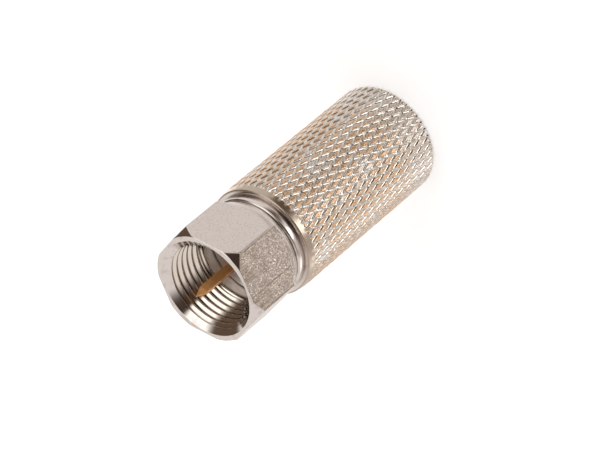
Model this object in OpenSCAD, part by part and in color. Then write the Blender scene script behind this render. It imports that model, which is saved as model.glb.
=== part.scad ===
// F plug to 9.5 mm aerial socket adaptor, standing on its socket end.
// The axis runs along Z with the plug end up, and a flat of the nut faces +X.
// The origin is on the axis, in the plane where the front of an F jack seats on the sleeve.
// Depths are measured down from that plane towards the socket end, so what is above it is negative.

/* [Coupling nut] */
// Width of the hexagon across its flats
nut_flats = 11; // [10.8:0.05:11.2]
// Height of the nut's front face above the seating plane
nut_reach = 6.75; // [6.4:0.05:7]
// Depth of the nut's rear face below the seating plane
nut_tail = 1; // [0.95:0.05:1.1]
// Diameter of the countersunk mouth at the front face
mouth_d = 10.4; // [10:0.05:10.6]
// Bore through the crests of the 3/8-32 thread
thread_minor_d = 8.74; // [8.66:0.02:8.84]
// Diameter of the relief groove behind the thread
relief_d = 9.7; // [9.6:0.05:9.9]
// Distance from the front face to the end of the thread
thread_depth = 5; // [4.6:0.1:5.2]

/* [Barrel] */
// Diameter of the smooth band at the shoulder
barrel_d = 11.96; // [11.8:0.02:12.2]
// Depth of the socket end below the seating plane
barrel_end = 23.35; // [22:0.05:25]
// Diameter of the bead on the neck
bead_d = 10.7; // [10.4:0.1:10.8]
// Diameter of the socket bore, for a 9.5 mm aerial plug
socket_bore_d = 9.6; // [9.55:0.01:9.7]
// Depth of the open socket
socket_depth = 10; // [9:0.1:11]

/* [Knurl] */
// Number of grooves that wind each way round the barrel
knurl_starts = 48; // [36:1:52]
// Number of rows of groove crossings along the barrel
knurl_rows = 16; // [12:1:18]
// Depth of the grooves
knurl_depth = 0.18; // [0.1:0.01:0.22]
// Half the width of a groove, square to its run
groove_half_w = 0.17; // [0.1:0.01:0.19]

/* [Front sleeve] */
// Outer diameter of the pressed sleeve that carries the nut
sleeve_d = 7.4; // [7:0.1:7.6]
// Bore of the sleeve
sleeve_bore_d = 5; // [4.4:0.1:5.4]
// Thickness of the sleeve's flange
flange_t = 0.4; // [0.3:0.02:0.42]

/* [Centre contact] */
// Width of the flat blade
blade_w = 0.85; // [0.7:0.05:1]
// Thickness of the blade
blade_t = 0.55; // [0.4:0.05:0.7]
// Height of the blade's point above the seating plane
blade_reach = 8.2; // [7.5:0.05:9]
// Turn of the blade and the seam about the axis
blade_roll = 15; // [0:5:90]
// Bore of the rolled socket, for a 2.35 mm plug pin
pin_bore_d = 2.4; // [2.36:0.01:2.5]
// Thickness of the brass strip
strip_t = 0.4; // [0.3:0.05:0.5]

/* [Hidden] */

$fn = 96;
eps = 0.01;
running_gap = 0.08;

// Coupling nut
hex_r = nut_flats / sqrt(3);
nut_face_r = 5.72;
nut_face_slope = 0.65;
nut_waist = -0.15;
nut_collar_r = 5.46;
nut_tail_round = 2.3;
mouth_len = 0.75;
thread_start = mouth_len - nut_reach;
thread_end = thread_depth - nut_reach;
relief_len = 0.3;
seat_bore_r = 4.5;
lip_top = flange_t + 0.05;
lip_bore_r = sleeve_d / 2 + running_gap;

// Barrel
barrel_r = barrel_d / 2;
bead_r = bead_d / 2;
bead_top = nut_tail + 0.15;
bead_len = 0.75;
bead_round = 0.25;
neck_r = bead_r - 0.4;
shoulder_top = 2.1;
shoulder_round = 0.4;
band_end = 3;
rim_start = barrel_end - 0.45;
rim_r = barrel_r - 0.16;
rim_round = 0.4;
bore_break = 0.15;
sleeve_end = 5.5;
socket_floor = barrel_end - socket_depth;

// Knurl: crossings of the grooves lie in rows, and a pad stands between two of them
knurl_r = barrel_r - 0.02;
knurl_start = band_end - 0.45;
row_pitch = (rim_start - knurl_start) / knurl_rows;
turn = 360 / knurl_starts;
half_pitch = PI * knurl_r / knurl_starts;
lean = atan(half_pitch / row_pitch);
pad_half_len = row_pitch - groove_half_w / sin(lean);
pad_half_a = (half_pitch - groove_half_w / cos(lean)) / knurl_r * 180 / PI;

// Front sleeve and insulator
flange_r = seat_bore_r - running_gap;
flange_bevel = 0.1;
spigot_top = 0.2;

// Centre contact
tube_r = pin_bore_d / 2 + strip_t;
tube_top = 7;
tube_floor = tube_top + 1;
tube_end = barrel_end - 1.5;
taper_len = 1.2;
seam_w = 0.3;
slot_len = 6;
flare = 0.2;
tip_len = 1.2;
tip_end = 0.06;

// Turns a profile of [radius, depth] points about the axis
module turned() rotate([180, 0, 0]) rotate_extrude() children();

// Points of a rounding in a profile: angle 0 faces down the part and 90 faces outwards
function rounding(r, depth, round, from, to, steps = 6) = [
  for (k = [0:steps])
    let (t = from + (to - from) * k / steps)
    [r + round * sin(t), depth + round * cos(t)]
];

module nut_outline() polygon(concat(
  [
    [0, -nut_reach],
    [nut_face_r, -nut_reach],
    [hex_r + eps, (hex_r + eps - nut_face_r) / nut_face_slope - nut_reach],
    [hex_r + eps, nut_waist - (hex_r + eps - nut_collar_r)]
  ],
  rounding(nut_collar_r - nut_tail_round, nut_waist, nut_tail_round,
           90, acos((nut_tail - nut_waist) / nut_tail_round)),
  [[0, nut_tail]]
));

module nut_bore() polygon([
  [0, -nut_reach - eps],
  [mouth_d / 2 + eps, -nut_reach - eps],
  [thread_minor_d / 2, thread_start],
  [thread_minor_d / 2, thread_end],
  [relief_d / 2, thread_end],
  [relief_d / 2, thread_end + relief_len],
  [seat_bore_r, thread_end + relief_len],
  [seat_bore_r, lip_top],
  [lip_bore_r, lip_top],
  [lip_bore_r, nut_tail + eps],
  [0, nut_tail + eps]
]);

// Hexagon nut with chamfered corners and a turned collar, which screws onto an F jack
module coupling_nut() color([0.78, 0.75, 0.73]) difference() {
  intersection() {
    turned() nut_outline();
    translate([0, 0, -nut_tail - eps]) rotate(30)
      cylinder(r = hex_r, h = nut_reach + nut_tail + 2 * eps, $fn = 6);
  }
  turned() nut_bore();
}

// A point on the barrel's skin
function skin(r, depth, a) = [r * sin(a), r * cos(a), -depth];

// Place and number of the groove crossing i in row j
function crossing_at(j, i) = skin(knurl_r - knurl_depth, knurl_start + j * row_pitch, (i + (j % 2) / 2) * turn);
function crossing(j, i) = j * knurl_starts + (i + knurl_starts) % knurl_starts;

// Places and numbers of a pad's corners: upper, low side, lower and high side of its flat top
function pad_at(j, i) =
  let (depth = knurl_start + j * row_pitch, a = (i + 0.5 + (j % 2) / 2) * turn)
  [
    skin(knurl_r, depth - pad_half_len, a),
    skin(knurl_r, depth, a - pad_half_a),
    skin(knurl_r, depth + pad_half_len, a),
    skin(knurl_r, depth, a + pad_half_a)
  ];
function corner(j, i, k) = (knurl_rows + 1) * knurl_starts + 4 * (j * knurl_starts + i) + k;

// Upper and lower half of a pad: flat top and two groove walls
function upper_half(j, i) =
  let (ahead = crossing(j - 1, i + j % 2))
  [
    [corner(j, i, 0), corner(j, i, 1), corner(j, i, 3)],
    [ahead, crossing(j, i), corner(j, i, 1), corner(j, i, 0)],
    [crossing(j, i + 1), ahead, corner(j, i, 0), corner(j, i, 3)]
  ];
function lower_half(j, i) =
  let (behind = crossing(j + 1, i + j % 2))
  [
    [corner(j, i, 1), corner(j, i, 2), corner(j, i, 3)],
    [crossing(j, i), behind, corner(j, i, 2), corner(j, i, 1)],
    [behind, crossing(j, i + 1), corner(j, i, 3), corner(j, i, 2)]
  ];

// Edge of the knurl along one row, from crossing to crossing round the barrel
function row_edge(j) = [
  for (i = [0:knurl_starts - 1])
    each [crossing(j, i), corner(j, i, 1), corner(j, i, 3)]
];
function cap(centre, edge) = [
  for (k = [0:len(edge) - 1])
    [centre, edge[k], edge[(k + 1) % len(edge)]]
];
function reversed(list) = [for (k = [len(list) - 1:-1:0]) list[k]];

// Bar with crossed helical grooves that leave flat-topped diamonds
module knurled_bar() {
  centre = 5 * (knurl_rows + 1) * knurl_starts;
  points = concat(
    [for (j = [0:knurl_rows], i = [0:knurl_starts - 1]) crossing_at(j, i)],
    [for (j = [0:knurl_rows], i = [0:knurl_starts - 1]) each pad_at(j, i)],
    [[0, 0, -knurl_start], [0, 0, -rim_start]]
  );
  faces = concat(
    [for (j = [1:knurl_rows], i = [0:knurl_starts - 1]) each upper_half(j, i)],
    [for (j = [0:knurl_rows - 1], i = [0:knurl_starts - 1]) each lower_half(j, i)],
    cap(centre, row_edge(0)),
    cap(centre + 1, reversed(row_edge(knurl_rows)))
  );
  polyhedron(points, faces, convexity = 4);
}

module neck_profile() polygon(concat(
  [[0, bead_top]],
  rounding(bead_r - bead_round, bead_top + bead_round, bead_round, 180, 90),
  rounding(bead_r - bead_round, bead_top + bead_len - bead_round, bead_round, 90, 20),
  [
    [neck_r, bead_top + bead_len + 0.1],
    [neck_r, shoulder_top]
  ],
  rounding(barrel_r - shoulder_round, shoulder_top + shoulder_round, shoulder_round, 180, 90),
  [
    [barrel_r, band_end],
    [0, band_end]
  ]
));

module rim_profile() polygon(concat(
  [
    [0, rim_start - 0.3],
    [rim_r, rim_start - 0.3]
  ],
  rounding(rim_r - rim_round, barrel_end - rim_round, rim_round, 90, 0),
  [[0, barrel_end]]
));

module barrel_bore() polygon([
  [0, bead_top - eps],
  [sleeve_d / 2, bead_top - eps],
  [sleeve_d / 2, sleeve_end],
  [socket_bore_d / 2, sleeve_end],
  [socket_bore_d / 2, barrel_end - bore_break],
  [socket_bore_d / 2 + bore_break + eps, barrel_end + eps],
  [0, barrel_end + eps]
]);

// Turned body: bead, neck groove, shoulder and band, then the knurled grip with its rounded rim
module barrel() color([0.80, 0.71, 0.62]) difference() {
  union() {
    turned() neck_profile();
    knurled_bar();
    turned() rim_profile();
  }
  turned() barrel_bore();
}

// Flanged sleeve pressed into the neck: its flange holds the nut and seats the jack
module front_sleeve() color([0.74, 0.72, 0.71]) turned() polygon([
  [sleeve_bore_d / 2, 0],
  [flange_r - flange_bevel, 0],
  [flange_r, flange_bevel],
  [flange_r, flange_t],
  [sleeve_d / 2, flange_t],
  [sleeve_d / 2, sleeve_end],
  [sleeve_bore_d / 2, sleeve_end]
]);

module blade_bar(from, to, share = 1) translate([-share * blade_t / 2, -share * blade_w / 2, -to])
  cube([share * blade_t, share * blade_w, to - from]);

// Moulded insulator: spigot in the sleeve, body in the barrel, pocket for the rolled contact
module insulator() color([0.86, 0.85, 0.81]) difference() {
  turned() polygon([
    [0, spigot_top],
    [sleeve_bore_d / 2, spigot_top],
    [sleeve_bore_d / 2, sleeve_end],
    [socket_bore_d / 2, sleeve_end],
    [socket_bore_d / 2, socket_floor],
    [0, socket_floor]
  ]);
  rotate(-blade_roll) blade_bar(spigot_top - eps, tube_top);
  translate([0, 0, -socket_floor - eps]) cylinder(r = tube_r, h = socket_floor - tube_top + taper_len + eps);
}

// Strip brass contact: a pointed blade that runs back into a rolled and slotted socket
module centre_contact() color([0.72, 0.52, 0.25]) rotate(-blade_roll) difference() {
  union() {
    hull() {
      blade_bar(-blade_reach, eps - blade_reach, tip_end);
      blade_bar(tip_len - blade_reach, spigot_top);
    }
    blade_bar(0, tube_top);
    turned() polygon([
      [0, tube_top - taper_len],
      [blade_t / 2, tube_top - taper_len],
      [tube_r, tube_top],
      [tube_r, tube_end],
      [0, tube_end]
    ]);
  }
  turned() polygon([
    [0, tube_floor],
    [pin_bore_d / 2, tube_floor],
    [pin_bore_d / 2, tube_end - flare],
    [pin_bore_d / 2 + flare, tube_end + eps],
    [0, tube_end + eps]
  ]);
  translate([0, -seam_w / 2, -tube_end - eps]) cube([2 * tube_r, seam_w, tube_end - tube_floor + eps]);
  translate([-2 * tube_r, -seam_w / 2, -tube_end - eps]) cube([2 * tube_r, seam_w, slot_len + eps]);
}

coupling_nut();
barrel();
front_sleeve();
insulator();
centre_contact();
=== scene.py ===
from math import atan2, cos, degrees, pi, radians, sin, sqrt

import bmesh
import bpy
from mathutils import Matrix, Vector, noise


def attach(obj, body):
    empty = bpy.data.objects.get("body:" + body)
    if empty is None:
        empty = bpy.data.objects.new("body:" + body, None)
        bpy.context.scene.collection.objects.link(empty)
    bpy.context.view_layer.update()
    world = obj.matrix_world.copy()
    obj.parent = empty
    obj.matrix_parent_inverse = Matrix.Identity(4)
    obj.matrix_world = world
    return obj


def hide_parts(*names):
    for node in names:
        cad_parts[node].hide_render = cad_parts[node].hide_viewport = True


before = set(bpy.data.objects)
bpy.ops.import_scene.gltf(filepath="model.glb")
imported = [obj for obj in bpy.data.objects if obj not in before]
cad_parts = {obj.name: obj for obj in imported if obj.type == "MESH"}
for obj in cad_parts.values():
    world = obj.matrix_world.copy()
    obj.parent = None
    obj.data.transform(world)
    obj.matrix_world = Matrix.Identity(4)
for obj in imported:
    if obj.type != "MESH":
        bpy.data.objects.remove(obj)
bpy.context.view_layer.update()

MM = 0.001

# Sizes in millimetres. Stations are depths below the seating plane, so the nut's end is negative
NUT_FRONT, NUT_REAR = -6.75, 1.0
NUT_APOTHEM = 5.5
FACE_R, FACE_SLOPE, FACE_BREAK = 5.72, 0.65, 0.05
WAIST_X, COLLAR_R, TAIL_ROUND = -0.15, 5.46, 2.3
HEX_BLEND, CONE_BLEND, NUT_BLEND = 0.10, 0.1, 0.07
MOUTH_R, MINOR_R, MOUTH_END = 5.2, 4.37, -6.0
PITCH, MAJOR_R, THREAD_PHASE = 25.4 / 32, 4.74, 0.35
CREST_SHARE, ROOT_SHARE = 0.12, 0.05
THREAD_END, RELIEF_R, RELIEF_LEN, SEAT_R = -1.75, 4.85, 0.3, 4.5
LIP_X, LIP_R, LIP_BREAK = 0.45, 3.78, 0.05
NUT_FACETS, BORE_FACETS, BORE_RINGS = 480, 240, 170

BARREL_R, BARREL_END = 5.98, 23.35
BEAD_X, BEAD_END, BEAD_R, BEAD_ROUND, NECK_R = 1.05, 1.86, 5.35, 0.22, 4.95
SHOULDER_X, SHOULDER_ROUND, SHOULDER_SLOPE = 2.03, 0.14, 0.16
SHOULDER_FOOT_R, FILLET = 5.3, 0.05
KNURL_CUT, KNURL_FULL = 2.75, 2.95
STARTS, ROWS, KNURL_X0, KNURL_R = 48, 16, 2.55, 5.96
ROW_PITCH = 20.35 / ROWS
KNURL_DEPTH, GROOVE_HALF_W = 0.18, 0.17
CROWN, WEAR, WEAR_SCALE = 0.03, 0.012, 1700
RIM_ROUND, BORE_BREAK = 0.4, 0.15
SLEEVE_R, SLEEVE_END, SOCKET_R = 3.7, 5.5, 4.8
BARREL_FACETS = 240

FLOOR_GAP, FLOOR_HALF = 0.005, 3.0


# ---------------------------------------------------------------- mesh helpers

def smooth_step(a, b, t):
    t = min(max((t - a) / (b - a), 0.0), 1.0)
    return t * t * (3 - 2 * t)


def smooth_min(a, b, k):
    h = max(k - abs(a - b), 0.0) / k
    return min(a, b) - h * h * k / 4


def arc(cx, cr, r, start, end, steps):
    """Points (x, radius) of a rounding: 0 degrees faces +X and 90 degrees faces outwards."""
    out = []
    for k in range(steps + 1):
        t = radians(start + (end - start) * k / steps)
        out.append((cx + r * cos(t), cr + r * sin(t)))
    return out


def skin(x, r, a):
    """The point at depth x and radius r; angle 0 faces +Y and 90 degrees faces +X."""
    return (r * sin(a) * MM, r * cos(a) * MM, -x * MM)


def build(name, verts, faces, body, replaced=None):
    mesh = bpy.data.meshes.new(name)
    mesh.from_pydata(verts, [], faces)
    mesh.validate()
    bm = bmesh.new()
    bm.from_mesh(mesh)
    bmesh.ops.recalc_face_normals(bm, faces=bm.faces)
    bm.to_mesh(mesh)
    bm.free()
    mesh.polygons.foreach_set("use_smooth", [True] * len(mesh.polygons))
    piece = bpy.data.objects.new(name, mesh)
    bpy.context.scene.collection.objects.link(piece)
    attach(piece, body)
    if replaced:
        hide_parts(replaced)
    return piece


class Shell:
    """Grows a closed surface from rings of points round the Z axis."""

    def __init__(self):
        self.verts, self.faces = [], []

    def ring(self, points):
        """points: (x, radius, angle) in order of angle. Returns [(index, angle)]."""
        first = len(self.verts)
        self.verts.extend(skin(*p) for p in points)
        return [(first + k, p[2]) for k, p in enumerate(points)]

    def turned(self, x, r, count):
        return self.ring([(x, r, 2 * pi * k / count) for k in range(count)])

    def join(self, lower, upper):
        n = len(lower)
        for k in range(n):
            m = (k + 1) % n
            self.faces.append((lower[k][0], lower[m][0], upper[m][0], upper[k][0]))

    def stitch(self, lower, upper):
        """Joins two rings with different counts by walking round both in order of angle."""
        i = j = 0
        n, m = len(lower), len(upper)
        while i < n or j < m:
            a = lower[(i + 1) % n][1] + 2 * pi * ((i + 1) // n) if i < n else 99
            b = upper[(j + 1) % m][1] + 2 * pi * ((j + 1) // m) if j < m else 99
            if a <= b:
                self.faces.append((lower[i % n][0], lower[(i + 1) % n][0], upper[j % m][0]))
                i += 1
            else:
                self.faces.append((lower[i % n][0], upper[(j + 1) % m][0], upper[j % m][0]))
                j += 1

    def revolve(self, profile, count, start=None):
        """Adds turned rings through the (x, radius) profile; returns the last ring."""
        last = start
        for x, r in profile:
            new = self.turned(x, r, count)
            if last:
                self.join(last, new) if len(last) == count else self.stitch(last, new)
            last = new
        return last


# ---------------------------------------------------------------- coupling nut

def hexagon_r(a):
    """Radius of the hexagon at angle a, with slightly rounded corners. A flat faces +X."""
    t = (degrees(a) - 90 + 30) % 60 - 30
    near = NUT_APOTHEM / cos(radians(t))
    other = NUT_APOTHEM / cos(radians(60 - abs(t)))
    return smooth_min(near, other, HEX_BLEND)


def nut_profile_r(x):
    """Radius of the cones that cut the hexagon at the front and the rear, and of the collar."""
    front = FACE_R + FACE_SLOPE * (x - NUT_FRONT)
    if x < WAIST_X:
        rear = COLLAR_R + (WAIST_X - x)
    else:
        rear = COLLAR_R - TAIL_ROUND + sqrt(TAIL_ROUND ** 2 - (x - WAIST_X) ** 2)
    return smooth_min(front, rear, CONE_BLEND)


def nut_outer_r(x, a):
    return smooth_min(hexagon_r(a), nut_profile_r(x), NUT_BLEND)


def nut_stations():
    """Depths of the rings along the outside of the nut, close together where it curves."""
    xs = [NUT_FRONT + 0.03 * k for k in range(1, 36)]
    xs += [-5.6 + 0.5 * k for k in range(9)]
    xs += [-1.2 + 0.04 * k for k in range(32)]
    xs += [0.12 + 0.09 * k for k in range(9)]
    return xs


def thread_r(x, a):
    """Internal thread, right-handed, with straight flanks."""
    phase = (x / PITCH - a / (2 * pi) + THREAD_PHASE) % 1.0
    from_crest = abs(phase - 0.5) * 2
    rise = (from_crest - CREST_SHARE) / (1 - CREST_SHARE - ROOT_SHARE)
    return MINOR_R + (MAJOR_R - MINOR_R) * min(max(rise, 0.0), 1.0)


def nut_bore_r(x, a):
    cone = MOUTH_R - (MOUTH_R - MINOR_R) * (x - NUT_FRONT) / (MOUTH_END - NUT_FRONT)
    return max(thread_r(x, a), cone)


def nut_outside(s, mouth):
    """The front face, with a small break at its outer edge, and the flats. Returns the last ring."""
    angles = [2 * pi * (k + 0.5) / NUT_FACETS for k in range(NUT_FACETS)]
    last = s.ring([(NUT_FRONT, nut_outer_r(NUT_FRONT, a) - FACE_BREAK, a) for a in angles])
    s.stitch(mouth, last)
    for k, x in enumerate(nut_stations()):
        cut = 0.012 if k == 0 else 0.0
        new = s.ring([(x, nut_outer_r(x, a) - cut, a) for a in angles])
        s.join(last, new)
        last = new
    return last


def nut_rear(s, outside):
    """The rear face, the lip behind the sleeve's flange, the seat and the thread's relief."""
    rear_r = nut_outer_r(NUT_REAR, 0)
    edge = s.turned(NUT_REAR - 0.03, rear_r + 0.01, BORE_FACETS)
    s.stitch(outside, edge)
    relief_x = THREAD_END + RELIEF_LEN
    profile = [(NUT_REAR, rear_r - 0.04), (NUT_REAR, LIP_R + LIP_BREAK), (NUT_REAR - LIP_BREAK, LIP_R),
               (LIP_X + LIP_BREAK, LIP_R), (LIP_X, LIP_R + LIP_BREAK), (LIP_X, SEAT_R - 0.03),
               (LIP_X - 0.03, SEAT_R), (0.2, SEAT_R), (-0.4, SEAT_R), (-0.9, SEAT_R),
               (relief_x, SEAT_R), (relief_x, RELIEF_R), (THREAD_END + 0.02, RELIEF_R)]
    return s.revolve(profile, BORE_FACETS, edge)


def make_nut():
    s = Shell()
    angles = [2 * pi * k / BORE_FACETS for k in range(BORE_FACETS)]
    mouth = s.ring([(NUT_FRONT, MOUTH_R + 0.03, a) for a in angles])
    last = nut_rear(s, nut_outside(s, mouth))
    for k in range(BORE_RINGS + 1):
        x = THREAD_END + (NUT_FRONT + 0.02 - THREAD_END) * k / BORE_RINGS
        new = s.ring([(x, nut_bore_r(x, a), a) for a in angles])
        s.join(last, new)
        last = new
    s.join(last, mouth)
    return build("coupling_nut_dressed", s.verts, s.faces, "nut", "coupling_nut")


# ---------------------------------------------------------------- barrel

TURN = 2 * pi / STARTS
GROOVE_PITCH = TURN * KNURL_R * cos(atan2(TURN * KNURL_R / 2, ROW_PITCH))
GROOVE_SHARE = GROOVE_HALF_W / GROOVE_PITCH
# Lines of the lattice across one cell: groove bottom, wall, edge, pad, edge and wall again
CELL = (0.0, GROOVE_SHARE * 0.55, GROOVE_SHARE, GROOVE_SHARE + 0.07, 0.5,
        0.93 - GROOVE_SHARE, 1 - GROOVE_SHARE, 1 - GROOVE_SHARE * 0.55)


def knurl_lattice():
    """Unbroken skin at one radius whose edges follow both families of grooves."""
    n = len(CELL)
    span = STARTS * n
    index, verts, faces = {}, [], []

    def vertex(u, v):
        k = v // span
        key = (u - k * span, v - k * span)
        if key not in index:
            uu = key[0] // n + CELL[key[0] % n]
            vv = key[1] // n + CELL[key[1] % n]
            index[key] = len(verts)
            verts.append((KNURL_X0 + (uu - vv) * ROW_PITCH, (uu + vv) / 2 * TURN))
        return index[key]

    for v0 in range(STARTS):
        for u0 in range(v0 - 1, v0 + ROWS + 1):
            for i in range(n):
                for j in range(n):
                    u, v = u0 * n + i, v0 * n + j
                    faces.append((vertex(u, v), vertex(u + 1, v),
                                  vertex(u + 1, v + 1), vertex(u, v + 1)))
    return [skin(x, BARREL_R, a) for x, a in verts], faces


def rim_r(x):
    """Radius over the knurl, rounded off at the socket's rim."""
    centre = BARREL_END - RIM_ROUND
    if x <= centre:
        return KNURL_R
    return KNURL_R - RIM_ROUND + sqrt(max(RIM_ROUND ** 2 - (x - centre) ** 2, 0.0))


def shoulder_r(x):
    """The slight cone in front of the knurl."""
    return KNURL_R - SHOULDER_SLOPE * max(KNURL_FULL - x, 0.0)


def groove(t):
    """Depth of a groove at t, in groove pitches from its middle."""
    d = abs((t + 0.5) % 1.0 - 0.5) * GROOVE_PITCH
    return KNURL_DEPTH * max(0.0, 1 - d / GROOVE_HALF_W)


def across(t):
    """1 in the middle of a pad between two grooves of a family, 0 in the grooves."""
    return sin(pi * (t % 1.0)) ** 2


def knurl_surface_r(x, a):
    xi = (x - KNURL_X0) / ROW_PITCH
    turn = a / TURN
    share = smooth_step(KNURL_CUT, KNURL_FULL, x)
    depth = max(groove(turn + xi / 2), groove(turn - xi / 2)) * share
    crown = CROWN * (across(turn + xi / 2) * across(turn - xi / 2) - 1)
    worn = WEAR * noise.noise(Vector(skin(x, BARREL_R, a)) * WEAR_SCALE)
    return min(rim_r(x), shoulder_r(x) + (crown + worn) * share - depth)


def cut_lattice(front, rear):
    """The lattice cut square at both ends and sliced where the surface curves along the axis."""
    verts, faces = knurl_lattice()
    mesh = bpy.data.meshes.new("lattice")
    mesh.from_pydata(verts, [], faces)
    bm = bmesh.new()
    bm.from_mesh(mesh)
    bpy.data.meshes.remove(mesh)

    def cut(x, outer=False, inner=False):
        bmesh.ops.bisect_plane(bm, geom=bm.verts[:] + bm.edges[:] + bm.faces[:], dist=1e-9,
                               plane_co=(0, 0, -x * MM), plane_no=(0, 0, -1),
                               clear_outer=outer, clear_inner=inner)

    cut(rear, outer=True)
    cut(front, inner=True)
    for x in (2.8, 2.85, 2.9, KNURL_FULL, 22.95, 23.03, 23.11, 23.19, 23.26, 23.31):
        cut(x)
    return bm


def add_knurl(s, front, rear):
    """Adds the knurled skin and returns its first and last rings, in order of angle."""
    bm = cut_lattice(front, rear)
    bm.verts.index_update()
    offset = len(s.verts)
    ends = {front: [], rear: []}
    for v in bm.verts:
        x, a = -v.co.z / MM, atan2(v.co.x, v.co.y) % (2 * pi)
        for end, ring in ends.items():
            if abs(x - end) < 1e-4:
                ring.append((len(s.verts), a))
        s.verts.append(skin(x, knurl_surface_r(x, a), a))
    for f in bm.faces:
        s.faces.append(tuple(offset + v.index for v in f.verts))
    bm.free()
    return [sorted(ring, key=lambda p: p[1]) for ring in ends.values()]


def barrel_profile():
    """From the knurl's front edge over the shoulder, neck and bead, and through the bore to the rim."""
    edge_x = SHOULDER_X + SHOULDER_ROUND
    profile = [(edge_x + 0.12, shoulder_r(edge_x + 0.12))]
    profile += arc(edge_x, shoulder_r(edge_x) - SHOULDER_ROUND, SHOULDER_ROUND, 90, 180, 10)
    profile += [(SHOULDER_X, SHOULDER_FOOT_R), (SHOULDER_X, NECK_R + FILLET), (SHOULDER_X - 0.04, NECK_R),
                (BEAD_END + 0.08, NECK_R), (BEAD_END + 0.03, NECK_R + FILLET)]
    profile += arc(BEAD_END - BEAD_ROUND, BEAD_R - BEAD_ROUND, BEAD_ROUND, 10, 90, 8)
    profile += arc(BEAD_X + BEAD_ROUND, BEAD_R - BEAD_ROUND, BEAD_ROUND, 90, 180, 8)
    profile += [(BEAD_X, 4.6), (BEAD_X, SLEEVE_R), (3.0, SLEEVE_R), (SLEEVE_END, SLEEVE_R),
                (SLEEVE_END, 4.3), (SLEEVE_END, SOCKET_R), (9.0, SOCKET_R), (13.0, SOCKET_R),
                (18.0, SOCKET_R), (BARREL_END - BORE_BREAK, SOCKET_R),
                (BARREL_END, SOCKET_R + BORE_BREAK), (BARREL_END, BARREL_R - RIM_ROUND - 0.06)]
    return profile


def make_barrel():
    s = Shell()
    first, last = add_knurl(s, KNURL_CUT, BARREL_END - 0.004)
    end = s.revolve(barrel_profile(), BARREL_FACETS, first)
    s.stitch(end, last)
    return build("barrel_dressed", s.verts, s.faces, "body", "barrel")


# ---------------------------------------------------------------- materials

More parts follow.
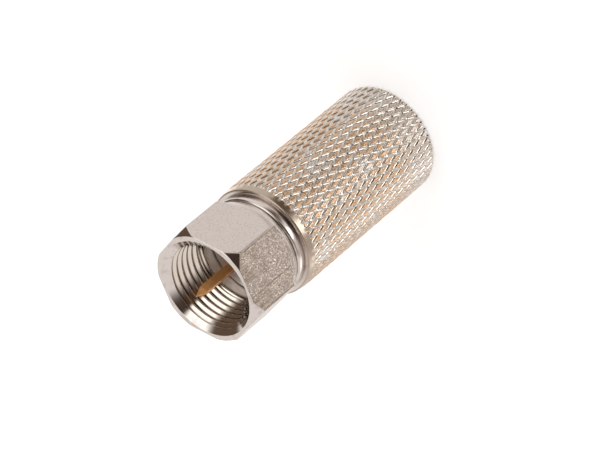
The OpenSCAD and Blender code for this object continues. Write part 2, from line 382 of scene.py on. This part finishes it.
class Finish:
    """A material whose layers are worked out in the piece's own coordinates, in millimetres."""

    def __init__(self, name, metallic):
        self.material = bpy.data.materials.new(name)
        self.material.use_nodes = True
        self.nodes = self.material.node_tree.nodes
        self.links = self.material.node_tree.links
        self.shader = self.nodes["Principled BSDF"]
        self.shader.inputs["Metallic"].default_value = metallic
        self.coords = self.nodes.new("ShaderNodeTexCoord")
        self.place = self.vector("SCALE", self.coords.outputs["Object"], scale=1 / MM)
        self.radius = self.vector("LENGTH", self.vector("MULTIPLY", self.place, (1, 1, 0)))
        parts = self.nodes.new("ShaderNodeSeparateXYZ")
        self.links.new(self.place, parts.inputs[0])
        self.x, self.y, self.z = parts.outputs

    def feed(self, socket, value):
        if isinstance(value, bpy.types.NodeSocket):
            self.links.new(value, socket)
        elif isinstance(value, tuple) and len(value) != len(socket.default_value):
            socket.default_value = (*value, 1)
        else:
            socket.default_value = value

    def vector(self, operation, a, b=None, scale=None):
        node = self.nodes.new("ShaderNodeVectorMath")
        node.operation = operation
        self.feed(node.inputs[0], a)
        if b is not None:
            self.feed(node.inputs[1], b)
        if scale is not None:
            node.inputs["Scale"].default_value = scale
        return node.outputs["Value" if operation == "LENGTH" else "Vector"]

    def math(self, operation, a, b=0.0):
        node = self.nodes.new("ShaderNodeMath")
        node.operation = operation
        self.feed(node.inputs[0], a)
        self.feed(node.inputs[1], b)
        return node.outputs[0]

    def both(self, a, b):
        """1 only where both masks are 1."""
        return self.math("MULTIPLY", a, b)

    def ramp(self, value, low, high, out_low=0.0, out_high=1.0):
        node = self.nodes.new("ShaderNodeMapRange")
        node.interpolation_type = "SMOOTHSTEP"
        for socket, given in zip(node.inputs, (value, low, high, out_low, out_high)):
            self.feed(socket, given)
        return node.outputs["Result"]

    def noise(self, scale, detail=2.0, stretch=(1, 1, 1), source=None):
        node = self.nodes.new("ShaderNodeTexNoise")
        self.feed(node.inputs["Vector"], self.vector("MULTIPLY", source or self.place, stretch))
        node.inputs["Scale"].default_value = scale
        node.inputs["Detail"].default_value = detail
        return node.outputs["Fac"]

    def rings(self, scale, detail=3.0):
        """Noise that runs round the axis, as a turning tool leaves it."""
        join = self.nodes.new("ShaderNodeCombineXYZ")
        self.links.new(self.radius, join.inputs[0])
        self.links.new(self.z, join.inputs[1])
        return self.noise(scale, detail, source=join.outputs[0])

    def mix(self, factor, a, b):
        """Colour a where the factor is 0 and b where it is 1."""
        node = self.nodes.new("ShaderNodeMix")
        node.data_type = "RGBA"
        for index, value in ((0, factor), (6, a), (7, b)):
            self.feed(node.inputs[index], value)
        return node.outputs[2]

    def blend(self, factor, a, b):
        """The same for numbers."""
        node = self.nodes.new("ShaderNodeMix")
        for index, value in ((0, factor), (2, a), (3, b)):
            self.feed(node.inputs[index], value)
        return node.outputs[0]

    def bump(self, height, depth, under=None):
        """Relief of the given depth in millimetres, over an earlier layer of relief."""
        node = self.nodes.new("ShaderNodeBump")
        node.inputs["Distance"].default_value = depth * MM
        self.feed(node.inputs["Height"], height)
        if under is not None:
            self.links.new(under, node.inputs["Normal"])
        return node.outputs[0]

    def flakes(self, scale, share, normal):
        """Tips the surface a little differently in each small cell, as on a coarse plated face."""
        cells = self.nodes.new("ShaderNodeTexVoronoi")
        self.links.new(self.place, cells.inputs["Vector"])
        cells.inputs["Scale"].default_value = scale
        tip = self.vector("SUBTRACT", cells.outputs["Color"], (0.5, 0.5, 0.5))
        weight = self.nodes.new("ShaderNodeVectorMath")
        weight.operation = "SCALE"
        self.links.new(tip, weight.inputs[0])
        self.feed(weight.inputs["Scale"], share)
        return self.vector("NORMALIZE", self.vector("ADD", normal, weight.outputs[0]))

    def finish(self, color, rough, normal):
        self.feed(self.shader.inputs["Base Color"], color)
        self.feed(self.shader.inputs["Roughness"], rough)
        self.links.new(normal, self.shader.inputs["Normal"])
        return self.material


NICKEL = (0.76, 0.71, 0.68)
NICKEL_DARK = (0.52, 0.47, 0.44)
NICKEL_BRIGHT = (0.82, 0.76, 0.73)
COARSE_DARK, COARSE_PALE = (0.42, 0.38, 0.35), (0.62, 0.52, 0.44)
TAN = (0.74, 0.46, 0.27)
TAN_PALE = (0.76, 0.58, 0.43)
# painted reflection: warm gold tint for the bore, standing in for the brass it reflects
BORE_WARM_REFLECTION = (0.80, 0.73, 0.66)
# dark brown for real scratches, and for painted shade in the thread roots and along the coarse flats'
# edges
DARK_MARK_AND_SHADE = (0.22, 0.16, 0.11)
GROOVE_BRIGHT = (0.80, 0.77, 0.73)
# darker tone for the bottoms of the knurl grooves
GROOVE_BOTTOM_DARK = (0.34, 0.29, 0.2)
# painted reflection: brown that dulls the cone, as if it reflected a dark room
CONE_REFLECTION_BROWN = (0.55, 0.46, 0.38)
SLEEVE_PALE, SLEEVE_DARK = (0.84, 0.80, 0.79), (0.66, 0.61, 0.59)
BRASS, BRASS_DARK = (0.80, 0.45, 0.19), (0.66, 0.34, 0.13)
PLASTIC, PLASTIC_DARK = (0.80, 0.79, 0.75), (0.72, 0.70, 0.65)

# Radii and heights, in millimetres, between which one look gives way to another
FLAT_RADII, BORE_RADII, ROOT_SHADE_RADII = (5.3, 5.45), (4.8, 5.0), (4.6, 4.7)
BORE_FLOOR, BORE_MOUTH, STREAK_FADE = (-0.3, 0.3), (5.8, 6.1), (2.6, 4.6)
KNURL_EDGE, CONE_EDGE, PLAIN_FADE = (-2.93, -2.75), (-5.0, -4.0), (-21.0, -17.0)
PAD_RADII, DEEP_RADII, CONE_RADII = (5.875, 5.918), (5.79, 5.87), (5.62, 5.7)

# Bearings of a coarse flat and of the long scratch on it, in degrees round from +Y
COARSE_FLAT, LONG_MARK = 150, 163
MARK_WIDTH, MARK_END = (0.004, 0.01), (0.2, 0.8)


def nut_masks(m):
    """Masks of the flats, of the coarse ones among them, of the edges beside those, where a painted
    shadow line goes, and of the bore.
    """
    axis = m.nodes.new("ShaderNodeSeparateXYZ")
    m.links.new(m.coords.outputs["Normal"], axis.inputs[0])
    upright = m.ramp(m.math("ABSOLUTE", axis.outputs[2]), 0.12, 0.3, 1.0, 0.0)
    flat = m.both(upright, m.ramp(m.radius, *FLAT_RADII))
    turn = m.math("ARCTAN2", m.x, m.y)
    third = m.math("COSINE", m.math("MULTIPLY", m.math("SUBTRACT", turn, radians(COARSE_FLAT)), 3.0))
    coarse = m.both(flat, m.ramp(third, -0.1, 0.1))
    # painted shadow: a thin dark line just inside the coarse flats' edges
    edge = m.both(flat, m.both(m.ramp(third, 0.0, 0.03), m.ramp(third, 0.06, 0.1, 1.0, 0.0)))
    inside = m.both(m.ramp(m.radius, *BORE_RADII, 1.0, 0.0), m.ramp(m.z, *BORE_FLOOR))
    inside = m.both(inside, m.ramp(m.z, *BORE_MOUTH, 1.0, 0.0))
    return flat, turn, coarse, edge, inside


def nut_cuts_and_edge_shade(m, turn, coarse, edge, grain):
    """Fine streaks near the front of the coarse flats, one long scratch, and a painted shadow line along
    their edges.
    """
    scratches = m.noise(1.0, 2.0, (17.0, 17.0, 0.45))
    worn = m.both(m.ramp(m.z, *STREAK_FADE), m.ramp(m.noise(0.7, 2.0), 0.35, 0.55))
    cut = m.both(coarse, m.both(m.ramp(scratches, 0.5, 0.58), worn))
    mark = m.math("ABSOLUTE", m.math("SUBTRACT", turn, radians(LONG_MARK)))
    mark = m.both(m.ramp(mark, *MARK_WIDTH, 1.0, 0.0), m.ramp(m.z, *MARK_END))
    cut = m.math("MAXIMUM", cut, m.both(coarse, mark))
    # the edge line added here is painted shadow; the streaks and the long scratch are real marks
    return m.math("MAXIMUM", cut, m.both(edge, m.ramp(grain, 0.35, 0.6, 0.5, 1.0)))


def nut_nickel():
    m = Finish("nut_nickel_finish", 1.0)
    flat, turn, coarse, edge, inside = nut_masks(m)
    fine = m.noise(13.0, 2.0)
    grain = m.noise(9.0, 2.0)
    cut = nut_cuts_and_edge_shade(m, turn, coarse, edge, grain)
    tone = m.mix(m.ramp(m.noise(1.4, 4.0), 0.5, 0.7, 0.0, 0.5), NICKEL, NICKEL_DARK)
    tone = m.mix(flat, tone, m.mix(m.ramp(fine, 0.56, 0.7), NICKEL_BRIGHT, NICKEL_DARK))
    tone = m.mix(coarse, tone, m.mix(m.ramp(grain, 0.4, 0.62), COARSE_DARK, COARSE_PALE))
    # painted reflection: the bore is tinted warm gold
    tone = m.mix(inside, tone, BORE_WARM_REFLECTION)
    # painted shade: the thread roots are darkened brown
    tone = m.mix(m.both(inside, m.ramp(m.radius, *ROOT_SHADE_RADII)), tone, DARK_MARK_AND_SHADE)
    # real scratches, plus the painted shadow line at the coarse flats' edges
    tone = m.mix(m.both(cut, 0.75), tone, DARK_MARK_AND_SHADE)
    turned = m.ramp(m.rings(3.0), 0.3, 0.7, 0.05, 0.12)
    rough = m.blend(flat, turned, m.ramp(fine, 0.3, 0.7, 0.34, 0.5))
    rough = m.blend(coarse, rough, 0.2)
    normal = m.bump(m.rings(9.0), 0.0006)
    normal = m.bump(m.both(flat, fine), 0.006, normal)
    normal = m.bump(m.math("SUBTRACT", 1.0, cut), 0.004, normal)
    normal = m.flakes(17.0, m.both(coarse, 0.6), normal)
    return m.finish(tone, rough, normal)


def pad_tone(m, specks):
    """Worn tan pads, with plain nickel left in patches and towards the socket's end."""
    worn = m.mix(m.ramp(specks, 0.35, 0.65), TAN, TAN_PALE)
    patches = m.ramp(m.noise(0.35, 3.0), 0.5, 0.68)
    plain = m.math("MAXIMUM", patches, m.ramp(m.z, *PLAIN_FADE, 0.7, 0.0))
    return m.mix(plain, worn, NICKEL)


def plated_tone(m, knurled, cone, specks):
    """Bright plating in the grooves, darker in specks at their bottoms, and a painted brown reflection
    that dulls the cone.
    """
    deep = m.both(knurled, m.ramp(m.radius, *DEEP_RADII, 1.0, 0.0))
    plated = m.mix(m.ramp(m.noise(1.1, 4.0), 0.5, 0.7, 0.0, 0.6), NICKEL, NICKEL_DARK)
    plated = m.mix(knurled, plated, GROOVE_BRIGHT)
    # painted reflection: the cone is tinted dull brown
    plated = m.mix(cone, plated, CONE_REFLECTION_BROWN)
    # darker in specks towards the groove bottoms
    return m.mix(m.both(deep, m.ramp(specks, 0.45, 0.65, 0.0, 0.7)), plated, GROOVE_BOTTOM_DARK)


def barrel_nickel():
    m = Finish("barrel_nickel_finish", 1.0)
    knurled = m.ramp(m.z, *KNURL_EDGE, 1.0, 0.0)
    pad = m.both(knurled, m.ramp(m.radius, *PAD_RADII))
    cone = m.both(m.math("SUBTRACT", 1.0, knurled),
                  m.both(m.ramp(m.radius, *CONE_RADII), m.ramp(m.z, *CONE_EDGE)))
    specks = m.noise(4.0, 3.0)
    pits = m.noise(9.0, 2.0)
    tone = m.mix(pad, plated_tone(m, knurled, cone, specks), pad_tone(m, specks))
    smooth = m.blend(cone, m.ramp(m.rings(3.0), 0.3, 0.7, 0.12, 0.22), 0.25)
    rough = m.blend(knurled, smooth, m.blend(pad, 0.09, m.ramp(pits, 0.3, 0.7, 0.2, 0.38)))
    normal = m.bump(m.rings(9.0), 0.0008)
    normal = m.bump(m.both(pad, specks), 0.07, normal)
    normal = m.bump(m.both(pad, pits), 0.015, normal)
    return m.finish(tone, rough, normal)


def sleeve_nickel():
    m = Finish("sleeve_nickel_finish", 1.0)
    tone = m.mix(m.ramp(m.noise(0.9, 4.0), 0.48, 0.7), SLEEVE_PALE, SLEEVE_DARK)
    rough = m.ramp(m.rings(7.0), 0.3, 0.7, 0.38, 0.5)
    return m.finish(tone, rough, m.bump(m.rings(12.0), 0.002))


def contact_brass():
    m = Finish("contact_brass_finish", 1.0)
    tone = m.mix(m.ramp(m.noise(1.1, 3.0), 0.4, 0.7), BRASS, BRASS_DARK)
    rough = m.ramp(m.noise(2.0, 2.0), 0.3, 0.7, 0.3, 0.42)
    return m.finish(tone, rough, m.bump(m.noise(6.0, 2.0), 0.0005))


def insulator_plastic():
    m = Finish("insulator_plastic_finish", 0.0)
    tone = m.mix(m.ramp(m.noise(1.3, 3.0), 0.35, 0.7), PLASTIC, PLASTIC_DARK)
    rough = m.ramp(m.noise(3.0, 3.0), 0.3, 0.7, 0.34, 0.5)
    return m.finish(tone, rough, m.bump(m.noise(10.0, 3.0), 0.006))


def dress(piece, material):
    if not piece.material_slots:
        piece.data.materials.append(material)
    for slot in piece.material_slots:
        slot.material = material


# ---------------------------------------------------------------- stage, light and camera

def direction_mask(nodes, links, source, direction, inner, outer):
    """1 inside the inner angle round a direction, 0 outside the outer angle, in degrees."""
    dot = nodes.new("ShaderNodeVectorMath")
    dot.operation = "DOT_PRODUCT"
    dot.inputs[1].default_value = direction
    links.new(source, dot.inputs[0])
    ramp = nodes.new("ShaderNodeMapRange")
    ramp.interpolation_type = "SMOOTHSTEP"
    ramp.inputs["From Min"].default_value = cos(radians(outer))
    ramp.inputs["From Max"].default_value = cos(radians(inner))
    links.new(dot.outputs["Value"], ramp.inputs["Value"])
    return ramp.outputs["Result"]


def bearing(azimuth, height):
    """Unit vector: azimuth from +X towards +Y and height above the floor, in degrees."""
    a, h = radians(azimuth), radians(height)
    return Vector((cos(h) * cos(a), cos(h) * sin(a), sin(h)))


ROOM = (0.86, 0.82, 0.79)
# What the part reflects, later ones over earlier: azimuth, height, inner and outer angle, colour
PATCHES = [
    (-92, -40, 10, 30, (0.64, 0.60, 0.57)),
    (-10, -24, 14, 29, (0.15, 0.105, 0.07)),
    (-72, 12, 18, 38, (0.30, 0.22, 0.17)),
    (79, 22, 22, 36, (0.13, 0.085, 0.06)),
    (-34, 40, 18, 42, (0.06, 0.04, 0.03)),
    (24, 60, 17, 24, (1.55, 1.5, 1.45)),
    (129, -38, 14, 34, (1.6, 1.58, 1.55)),
    (-134, -40, 6, 16, (1.7, 1.65, 1.6)),
    (-57, -29, 8, 15, (3.2, 3.15, 3.1)),
]
WHITE = (1, 1, 1)
FLOOR_COLOR, FLOOR_GLOW = (0.88, 0.9, 0.92), 0.5

# Camera fitted to the photograph: its axes, and its place in millimetres
PHOTO_WIDTH, FOCAL_LENGTH, SENSOR_WIDTH = 600, 3399.83, 36.0
CAMERA_RIGHT = Vector((0.04756538, -0.81021279, -0.58420268))
CAMERA_DOWN = Vector((-0.77290571, -0.40033787, 0.49228687))
CAMERA_FORWARD = Vector((-0.63273557, 0.42811777, -0.64526031))
CAMERA_PLACE = Vector((208.55030945, -142.50701602, 206.01698886))


def color_mix(nodes):
    mix = nodes.new("ShaderNodeMix")
    mix.data_type = "RGBA"
    return mix


def make_world():
    """White to the camera. All other rays, reflections in the metal too, see the room and its patches."""
    world = bpy.data.worlds.new("studio")
    bpy.context.scene.world = world
    world.use_nodes = True
    nodes, links = world.node_tree.nodes, world.node_tree.links
    background = nodes["Background"]
    coords = nodes.new("ShaderNodeTexCoord")
    color = None
    for azimuth, height, inner, outer, rgb in PATCHES:
        mix = color_mix(nodes)
        mask = direction_mask(nodes, links, coords.outputs["Generated"],
                              bearing(azimuth, height), inner, outer)
        links.new(mask, mix.inputs["Factor"])
        if color is None:
            mix.inputs[6].default_value = (*ROOM, 1)
        else:
            links.new(color, mix.inputs[6])
        mix.inputs[7].default_value = (*rgb, 1)
        color = mix.outputs[2]
    backdrop = color_mix(nodes)
    path = nodes.new("ShaderNodeLightPath")
    links.new(path.outputs["Is Camera Ray"], backdrop.inputs["Factor"])
    links.new(color, backdrop.inputs[6])
    backdrop.inputs[7].default_value = (*WHITE, 1)
    links.new(backdrop.outputs[2], background.inputs["Color"])
    background.inputs["Strength"].default_value = 1.0


def floor_finish():
    """Pale, with a glow for the camera. The floor itself is hidden from glossy rays in make_floor."""
    mat = bpy.data.materials.new("floor_white")
    mat.use_nodes = True
    nodes, links = mat.node_tree.nodes, mat.node_tree.links
    shader = nodes["Principled BSDF"]
    shader.inputs["Base Color"].default_value = (*FLOOR_COLOR, 1)
    shader.inputs["Roughness"].default_value = 0.9
    shader.inputs["Emission Color"].default_value = (*WHITE, 1)

    def math(operation, a, b):
        node = nodes.new("ShaderNodeMath")
        node.operation = operation
        links.new(a, node.inputs[0])
        if isinstance(b, float):
            node.inputs[1].default_value = b
        else:
            links.new(b, node.inputs[1])
        return node.outputs[0]

    rays = nodes.new("ShaderNodeLightPath").outputs
    seen = math("MAXIMUM", rays["Is Camera Ray"], rays["Is Glossy Ray"])
    seen = math("MAXIMUM", seen, rays["Is Transmission Ray"])
    links.new(math("MULTIPLY", seen, FLOOR_GLOW), shader.inputs["Emission Strength"])
    return mat


def make_floor():
    z = -(BARREL_END + FLOOR_GAP) * MM
    corners = [(-1, -1), (1, -1), (1, 1), (-1, 1)]
    mesh = bpy.data.meshes.new("floor")
    mesh.from_pydata([(x * FLOOR_HALF, y * FLOOR_HALF, z) for x, y in corners], [], [(0, 1, 2, 3)])
    floor = bpy.data.objects.new("floor", mesh)
    bpy.context.scene.collection.objects.link(floor)
    floor.visible_glossy = False
    mesh.materials.append(floor_finish())


def make_camera():
    data = bpy.data.cameras.new("camera")
    data.sensor_width = SENSOR_WIDTH
    data.lens = FOCAL_LENGTH / PHOTO_WIDTH * SENSOR_WIDTH
    data.clip_start = 0.02
    data.clip_end = 20
    camera = bpy.data.objects.new("camera", data)
    bpy.context.scene.collection.objects.link(camera)
    columns = Matrix((CAMERA_RIGHT, -CAMERA_DOWN, -CAMERA_FORWARD)).transposed()
    camera.matrix_world = Matrix.Translation(CAMERA_PLACE * MM) @ columns.to_4x4()
    bpy.context.scene.camera = camera


make_camera()
make_world()
make_floor()
nut = make_nut()
barrel = make_barrel()
dress(nut, nut_nickel())
dress(barrel, barrel_nickel())
dress(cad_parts["front_sleeve"], sleeve_nickel())
dress(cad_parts["centre_contact"], contact_brass())
dress(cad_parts["insulator"], insulator_plastic())

bpy.context.scene.view_settings.view_transform = "Standard"
